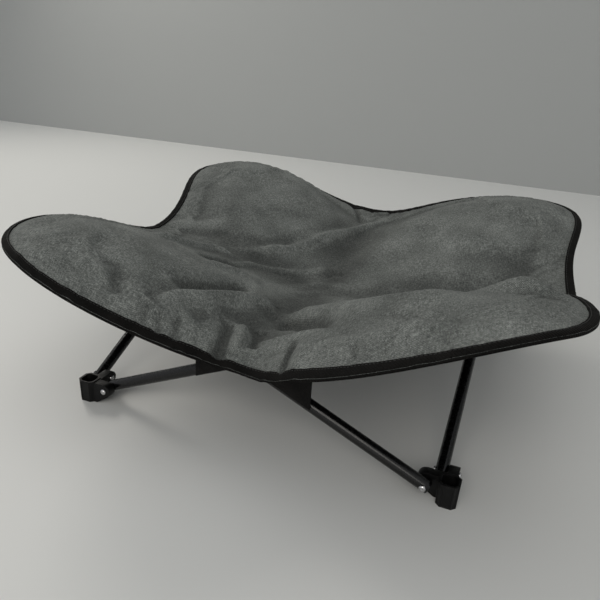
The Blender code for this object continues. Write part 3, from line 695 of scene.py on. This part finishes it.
def painted_fold_shade_of(points):
    """The painted fold shade: 0, darkest painted shade, in hollows and 1, painted highlight, on crests: tanh
    of the height over the cloth's own smoothed form.
    """
    rough = points[..., 2]
    smooth = rough.copy()
    for _ in range(PAINTED_SHADE_ROUNDS):
        smooth[1:-1] = (smooth[:-2] + 2 * smooth[1:-1] + smooth[2:]) / 4
        smooth[:, 1:-1] = (smooth[:, :-2] + 2 * smooth[:, 1:-1] + smooth[:, 2:]) / 4
    return 0.5 + 0.5 * np.tanh((rough - smooth) / PAINTED_SHADE_RELIEF)


def grid_normals(points):
    """Normals of a grid of points, upwards: the cross product of its steps along rows and columns."""
    normal = np.cross(np.gradient(points, axis=1), np.gradient(points, axis=0))
    return normal / np.maximum(np.linalg.norm(normal, axis=-1, keepdims=True), 1e-12)


cloth = heather_canvas()
lining = black_weave("black_lining_cloth", "#0f0f0f", "#201f1e", 0.0016)
_, _, rough = cover_grid(CELLS)
shift = finer(settle(rough))
plan_x, plan_y, upper = cover_grid(2 * CELLS)
folded = upper[..., 2].copy()
upper += shift

# The seam draws the cloth down and gathers it, and the padding below thins towards the edge
SEAM_DEPTH, SEAM_WIDTH = 0.0011, 0.007
GATHER_HEIGHT, GATHER_FROM, GATHER_WIDTH = 0.0007, 0.012, 0.014
LEAST_PADDING = 0.0025
angle = np.arctan2(plan_y, plan_x)
from_edge = reach(angle) - np.hypot(plan_x, plan_y)
seam = np.exp(-(np.maximum(from_edge - tape_width(angle), 0) / SEAM_WIDTH) ** 2)
puckers = gathers(angle) * np.exp(-(np.maximum(from_edge - GATHER_FROM, 0) / GATHER_WIDTH) ** 2)
upper[..., 2] += GATHER_HEIGHT * puckers - SEAM_DEPTH * seam
thin = np.clip(1 - from_edge / EDGE_THINS_OVER, 0, 1)
padding = COVER_THICKNESS + (EDGE_THICKNESS - COVER_THICKNESS) * thin
below = folded - 0.5 * fold_height(plan_x, plan_y) + 0.5 * shift[..., 2] - padding
lower = upper.copy()
lower[..., 2] = np.minimum(below, upper[..., 2] - LEAST_PADDING)


def on_quarter(piece, corner, slot, *nodes):
    """Puts a piece of the cover on its corner: it rides on the pocket."""
    if nodes:
        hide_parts(*nodes)
    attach(piece, "corner_pocket_" + corner)
    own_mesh(piece)


upper_normals = grid_normals(upper)
lower_normals = -grid_normals(lower)
# Painted shade in the folds' hollows and painted highlight on their crests, as a value for each point of the
# cover
painted_fold_shade = painted_fold_shade_of(upper).astype(np.float32)
quarter_faces = grid_faces(CELLS + 1, CELLS + 1)
for corner, (a, b) in SIGNS.items():
    part = (slice(None, CELLS + 1) if b < 0 else slice(CELLS, None),
            slice(None, CELLS + 1) if a < 0 else slice(CELLS, None))
    top = solid("cover_" + corner, upper[part], quarter_faces, cloth, normals=upper_normals[part])
    # The painted fold shade goes onto the cover's upper face as a point attribute
    top.data.attributes.new("painted_fold_shade", "FLOAT", "POINT").data.foreach_set("value", painted_fold_shade[part].ravel())
    on_quarter(top, corner, "grey_woven_polyester", "cover")
    under = solid("cover_lining_" + corner, lower[part], quarter_faces[:, ::-1], lining,
                  normals=lower_normals[part])
    on_quarter(under, corner, "black_tape")


# Edge tape and its stitching: black woven tape folded over the cover's edge, 10 mm wide on each face,
# and sewn through with one row of black polyester thread.
TAPE_THICKNESS = 0.0058
TAPE_STEPS = 241
TAPE_PUCKER = 0.0004                 # how far the tape rises and falls with the gathers
TAPE_WAVER = 0.02                    # how far its inner edge wavers with them, as a share of its width
# The folded tape's section: share of its width in from the edge, share of its thickness up
TAPE_SECTION = (
    (1.00, 0.34), (0.98, 0.44), (0.90, 0.47), (0.80, 0.42), (0.70, 0.48), (0.45, 0.50), (0.22, 0.46),
    (0.08, 0.34), (0.015, 0.16), (0.0, 0.0), (0.015, -0.16), (0.08, -0.34), (0.22, -0.46), (0.45, -0.50),
    (0.70, -0.48), (0.80, -0.42), (0.90, -0.47), (0.98, -0.44), (1.00, -0.34),
)
STITCH_PITCH = 0.0036
STITCH_LENGTH = 0.0028
STITCH_INSET = 0.8                   # of the tape's width
STITCH_LEVEL = 0.43                  # of the tape's thickness
STITCH_ARCH = 0.0002
STITCH_SIZE = (0.00035, 0.00028)     # half its width and half its height
STITCH_RINGS = ((-0.5, 0.25), (-0.35, 1.0), (0.0, 1.15), (0.35, 1.0), (0.5, 0.25))    # (place, size)
STITCH_SIDES = 6
MEASURING_STEPS = 4000               # along a quarter of the outline, to space the stitches evenly
STITCH_AIM = 0.002                   # a stitch points at the place this angle further on


def sewing_thread():
    """Black polyester thread with a slight gloss, mottled every 0.4 mm by its twist."""
    made, tree, shader, place = new_material("black_thread")
    twist = add_node(tree, "TexNoise", {"Vector": place, "Scale": 1000 / 0.4})
    colour = add_node(tree, "ValToRGB", {"Fac": twist}, ((0.3, "#0c0c0b"), (0.7, "#191918")))
    feed(tree, shader, {"Base Color": colour, "Roughness": 0.6})
    return made


def edge_line(turn):
    """The outline at each angle, and its outward direction in plan, square to its central difference."""
    step = 1e-3
    behind, points, ahead = (reach(at)[:, None] * np.stack([np.cos(at), np.sin(at)], 1)
                             for at in (turn - step, turn, turn + step))
    along = (ahead - behind) / np.linalg.norm(ahead - behind, axis=1)[:, None]
    return points, np.stack([along[:, 1], -along[:, 0]], 1)


def on_tape(turn, inset, rise):
    """Points inset times the tape's width in from the edge, and rise above the middle of its thickness."""
    edge, outward = edge_line(turn)
    plan = edge - outward * (inset * tape_width(turn))[:, None]
    level = height(plan[:, 0], plan[:, 1]) - EDGE_THICKNESS / 2 + TAPE_PUCKER * gathers(turn)
    return np.column_stack([plan, level + rise])


tape = black_weave("black_woven_tape", "#090908", "#161514", 0.00205)
thread = sewing_thread()
for corner, (a, b) in SIGNS.items():
    middle = math.atan2(b, a)
    turn = np.linspace(middle - math.pi / 4, middle + math.pi / 4, TAPE_STEPS)
    waver = 1 + TAPE_WAVER * gathers(turn)
    loops = [on_tape(turn, inset * (waver if inset > 0.5 else 1), rise * TAPE_THICKNESS)
             for inset, rise in TAPE_SECTION]
    section = len(TAPE_SECTION)
    sides = grid_faces(TAPE_STEPS, section, closed_columns=True)
    made = solid("edge_tape_" + corner, np.stack(loops, 1), sides, tape, ends=end_faces(TAPE_STEPS, section))
    on_quarter(made, corner, "black_tape", "edge_binding")

    # The stitches, evenly spaced along the edge: each is a six-sided ring carried along a low arch
    fine = np.linspace(turn[0], turn[-1], MEASURING_STEPS)
    line, _ = edge_line(fine)
    run = np.concatenate([[0], np.cumsum(np.linalg.norm(np.diff(line, axis=0), axis=1))])
    count = int(run[-1] / STITCH_PITCH)
    at = np.interp((np.arange(count) + 0.5) * run[-1] / count, run, fine)
    across = np.column_stack([edge_line(at)[1], np.zeros(count)])
    rounds = np.linspace(0, 2 * math.pi, STITCH_SIDES, endpoint=False)[:, None]
    rings = []
    for face_up in (1, -1):
        level = face_up * STITCH_LEVEL * TAPE_THICKNESS
        centre = on_tape(at, STITCH_INSET, level)
        ahead = on_tape(at + STITCH_AIM, STITCH_INSET, level)
        way = (ahead - centre) / np.linalg.norm(ahead - centre, axis=1)[:, None]
        up = np.cross(way, across)
        spoke = STITCH_SIZE[0] * np.cos(rounds) * across[:, None]
        spoke = spoke + STITCH_SIZE[1] * np.sin(rounds) * up[:, None]
        for share, size in STITCH_RINGS:
            arch = (0, 0, STITCH_ARCH * (1 - (2 * share) ** 2) * face_up)
            rings.append((centre + way * (share * STITCH_LENGTH) + arch)[:, None] + size * spoke)
    stitches = np.stack(rings, 1)
    ring_count, corners_each = len(STITCH_RINGS), len(STITCH_RINGS) * STITCH_SIDES
    starts = corners_each * np.arange(2 * count)[:, None, None]
    sides = (grid_faces(ring_count, STITCH_SIDES, closed_columns=True) + starts).reshape(-1, 4)
    ends = (end_faces(ring_count, STITCH_SIDES) + starts).reshape(-1, STITCH_SIDES)
    made = solid("edge_stitching_" + corner, stitches, sides, thread, ends=ends)
    on_quarter(made, corner, "black_tape")


# Corner pockets: caps of the lining cloth over the top hubs, cut flat and sewn to the cover's underside.
# Their shape is the CAD's, with the folds of the cloth rounded over.
POCKET_ROUNDING = 0.00045
for corner in CORNERS:
    name = "corner_pocket_" + corner
    pocket, _ = rounded("pocket_" + corner, faceted(name), lining, POCKET_ROUNDING)
    fit(pocket, name, name)


# Front tab: a flap of the lining cloth sewn under the front edge, which hides the crossing tubes.
# It slopes out from its seam, hangs in front of the crossing's rivet and is hemmed on its free edges.
TAB_WIDTH = 0.137
TAB_SHIFT = 0.006                    # its middle, right of the crossing
TAB_THICKNESS = 0.0012
TAB_FRONT_GAP = 0.0012               # between the rivet's head and the tab
TAB_SEAM_INSET = 0.006               # it is sewn on this far inside the tape
TAB_OVER_TUBES = 0.010               # it ends this far above the tubes' lower edges
TAB_BEND = 0.004                     # the least drop of its straight part
TAB_HEM = 0.005                      # at its two sides
TAB_LOWER_HEM = 0.10                 # as a share of its length
TAB_HEM_DEPTH = 0.0004
TAB_WAVE = (0.0006, 140)             # height of its faint waves, and their radians for each metre across
TAB_SMOOTHINGS = 8                   # they round its bend
RIVET_HEAD_HEIGHT = 0.0022
hang_y = -(OUTER_FACE + HALF + RIVET_HEAD_HEIGHT + TAB_FRONT_GAP)
sewn_y = -(HALF + EDGE_OVERHANG[0] - TAPE_WIDTH - TAB_SEAM_INSET)
columns = TAB_SHIFT + np.linspace(-TAB_WIDTH / 2, TAB_WIDTH / 2, 91)[:, None]
rows = np.linspace(0, 1, 31)
under = height(columns, np.full_like(columns, sewn_y)) - COVER_THICKNESS - CLEARANCE - TAB_THICKNESS
tube_below = np.abs(columns) * math.tan(TUBE_ANGLE) + TUBE_RADIUS / math.cos(TUBE_ANGLE)
hem = CROSSING - tube_below + TAB_OVER_TUBES
bend = np.maximum(hem + TAB_BEND, np.minimum(under, CROSSING + TUBE_RADIUS) - TAB_BEND)
# Each column runs down a straight slope and then straight down, at even distances along it
slope, drop = np.hypot(hang_y - sewn_y, bend - under), bend - hem
along = rows * (slope + drop)
on_slope, on_drop = np.minimum(along / slope, 1), np.maximum((along - slope) / drop, 0)
tab = np.stack(np.broadcast_arrays(columns, sewn_y + on_slope * (hang_y - sewn_y),
                                   under + on_slope * (bend - under) + on_drop * (hem - bend)), -1)
for _ in range(TAB_SMOOTHINGS):
    tab[:, 1:-1, 1:] = (tab[:, :-2, 1:] + 2 * tab[:, 1:-1, 1:] + tab[:, 2:, 1:]) / 4
tab[..., 1] -= TAB_WAVE[0] * np.sin(columns * TAB_WAVE[1]) * np.sin(rows * math.pi)
down, sideways = np.diff(tab, axis=1), np.diff(tab, axis=0)
side_hem = np.exp(-((TAB_WIDTH / 2 - np.abs(columns - TAB_SHIFT)) / TAB_HEM) ** 8)
lower_hem = np.exp(-((1 - rows) / TAB_LOWER_HEM) ** 8)
tab[..., 1] += TAB_THICKNESS / 2 - TAB_HEM_DEPTH * np.maximum(side_hem, lower_hem)
tab_piece = solid("front_tab_cloth", tab, grid_faces(len(columns), len(rows)), lining)
wall = tab_piece.modifiers.new("cloth", "SOLIDIFY")
wall.thickness = TAB_THICKNESS
wall.offset = 0
fit(tab_piece, "front_tab", "front_tab")
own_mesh(tab_piece)


# Floor and backdrop: a plain pale sheet that the bed stands on and a plain grey one 1.6 m behind its
# middle, which aren't part of the bed.
FAR = 6
BACKDROP_Y = 1.6
BACKDROP_LOW = -0.01
BACKDROP_TOP = 5


def plain_sheet(name, corners, look_name, colour, roughness):
    """A flat sheet through four corners, in one plain colour."""
    look, tree, shader, _ = new_material(look_name)
    feed(tree, shader, {"Base Color": colour, "Roughness": roughness})
    return solid(name, corners, [(0, 1, 2, 3)], look)


floor_corners = [(-FAR, -FAR, 0), (FAR, -FAR, 0), (FAR, FAR, 0), (-FAR, FAR, 0)]
floor = plain_sheet("floor", floor_corners, "pale_floor", "#d4d5d3", 0.5)
wall_corners = [(-FAR, BACKDROP_Y, BACKDROP_LOW), (FAR, BACKDROP_Y, BACKDROP_LOW),
                (FAR, BACKDROP_Y, BACKDROP_TOP), (-FAR, BACKDROP_Y, BACKDROP_TOP)]
backdrop = plain_sheet("backdrop", wall_corners, "grey_backdrop", "#a3a5a4", 0.8)


# Light: a lamp behind on the left, a wide soft ceiling and a wide soft fill from the front, all faintly
# warm, and an even, faintly cool room around them.
LAMP_COLOUR = "#fffaf2"
ROOM_COLOUR = "#e8eaec"
ROOM_STRENGTH = 0.62
LAMPS = (
    # name, place, target, size in metres, power in watts
    ("lamp", (-1.9, 0.9, 1.5), (0, 0, 0.15), (0.7, 0.7), 15),
    ("ceiling", (0.4, 0.2, 2.6), (0, 0, 0), (2.4, 1.8), 5),
    ("fill", (0.3, -2.5, 1.6), (0, 0, 0.15), (2.0, 1.5), 25),
)
for name, place, target, size, power in LAMPS:
    lamp = bpy.data.lights.new(name, "AREA")
    lamp.shape = "RECTANGLE"
    lamp.size, lamp.size_y = size
    lamp.energy = power
    lamp.color = linear(LAMP_COLOUR)[:3]
    light = bpy.data.objects.new(name, lamp)
    bpy.context.scene.collection.objects.link(light)
    way = Vector(target) - Vector(place)
    light.matrix_world = Matrix.Translation(place) @ way.to_track_quat("-Z", "Y").to_matrix().to_4x4()
room = bpy.data.worlds.new("room")
room.use_nodes = True
feed(room.node_tree, room.node_tree.nodes["Background"], {"Color": ROOM_COLOUR, "Strength": ROOM_STRENGTH})
bpy.context.scene.world = room


# Camera: fitted to the photograph. It stands 0.43 m over the floor in front of the bed, and is turned
# 20.4 degrees to the left and 22.7 down, and rolled 3.5.
CAMERA_PLACE = (0.2498, -0.7613, 0.4302)
YAW, PITCH, ROLL = math.radians(-20.449), math.radians(22.651), math.radians(-3.490)
FOCAL_PIXELS = 612.4
IMAGE_PIXELS = 600
SENSOR_WIDTH = 36
forward = Vector((math.sin(YAW) * math.cos(PITCH), math.cos(YAW) * math.cos(PITCH), -math.sin(PITCH)))
right = Vector((math.cos(YAW), -math.sin(YAW), 0))
down = forward.cross(right)
image_right = math.cos(ROLL) * right + math.sin(ROLL) * down
image_down = -math.sin(ROLL) * right + math.cos(ROLL) * down
camera = bpy.data.objects.new("camera", bpy.data.cameras.new("camera"))
camera.data.sensor_width = SENSOR_WIDTH
camera.data.lens = FOCAL_PIXELS * SENSOR_WIDTH / IMAGE_PIXELS
camera.data.clip_start = 0.02
camera.matrix_world = (Matrix.Translation(CAMERA_PLACE)
                       @ Matrix((image_right, -image_down, -forward)).transposed().to_4x4())
bpy.context.scene.collection.objects.link(camera)
bpy.context.scene.camera = camera
bpy.context.scene.view_settings.view_transform = "Standard"
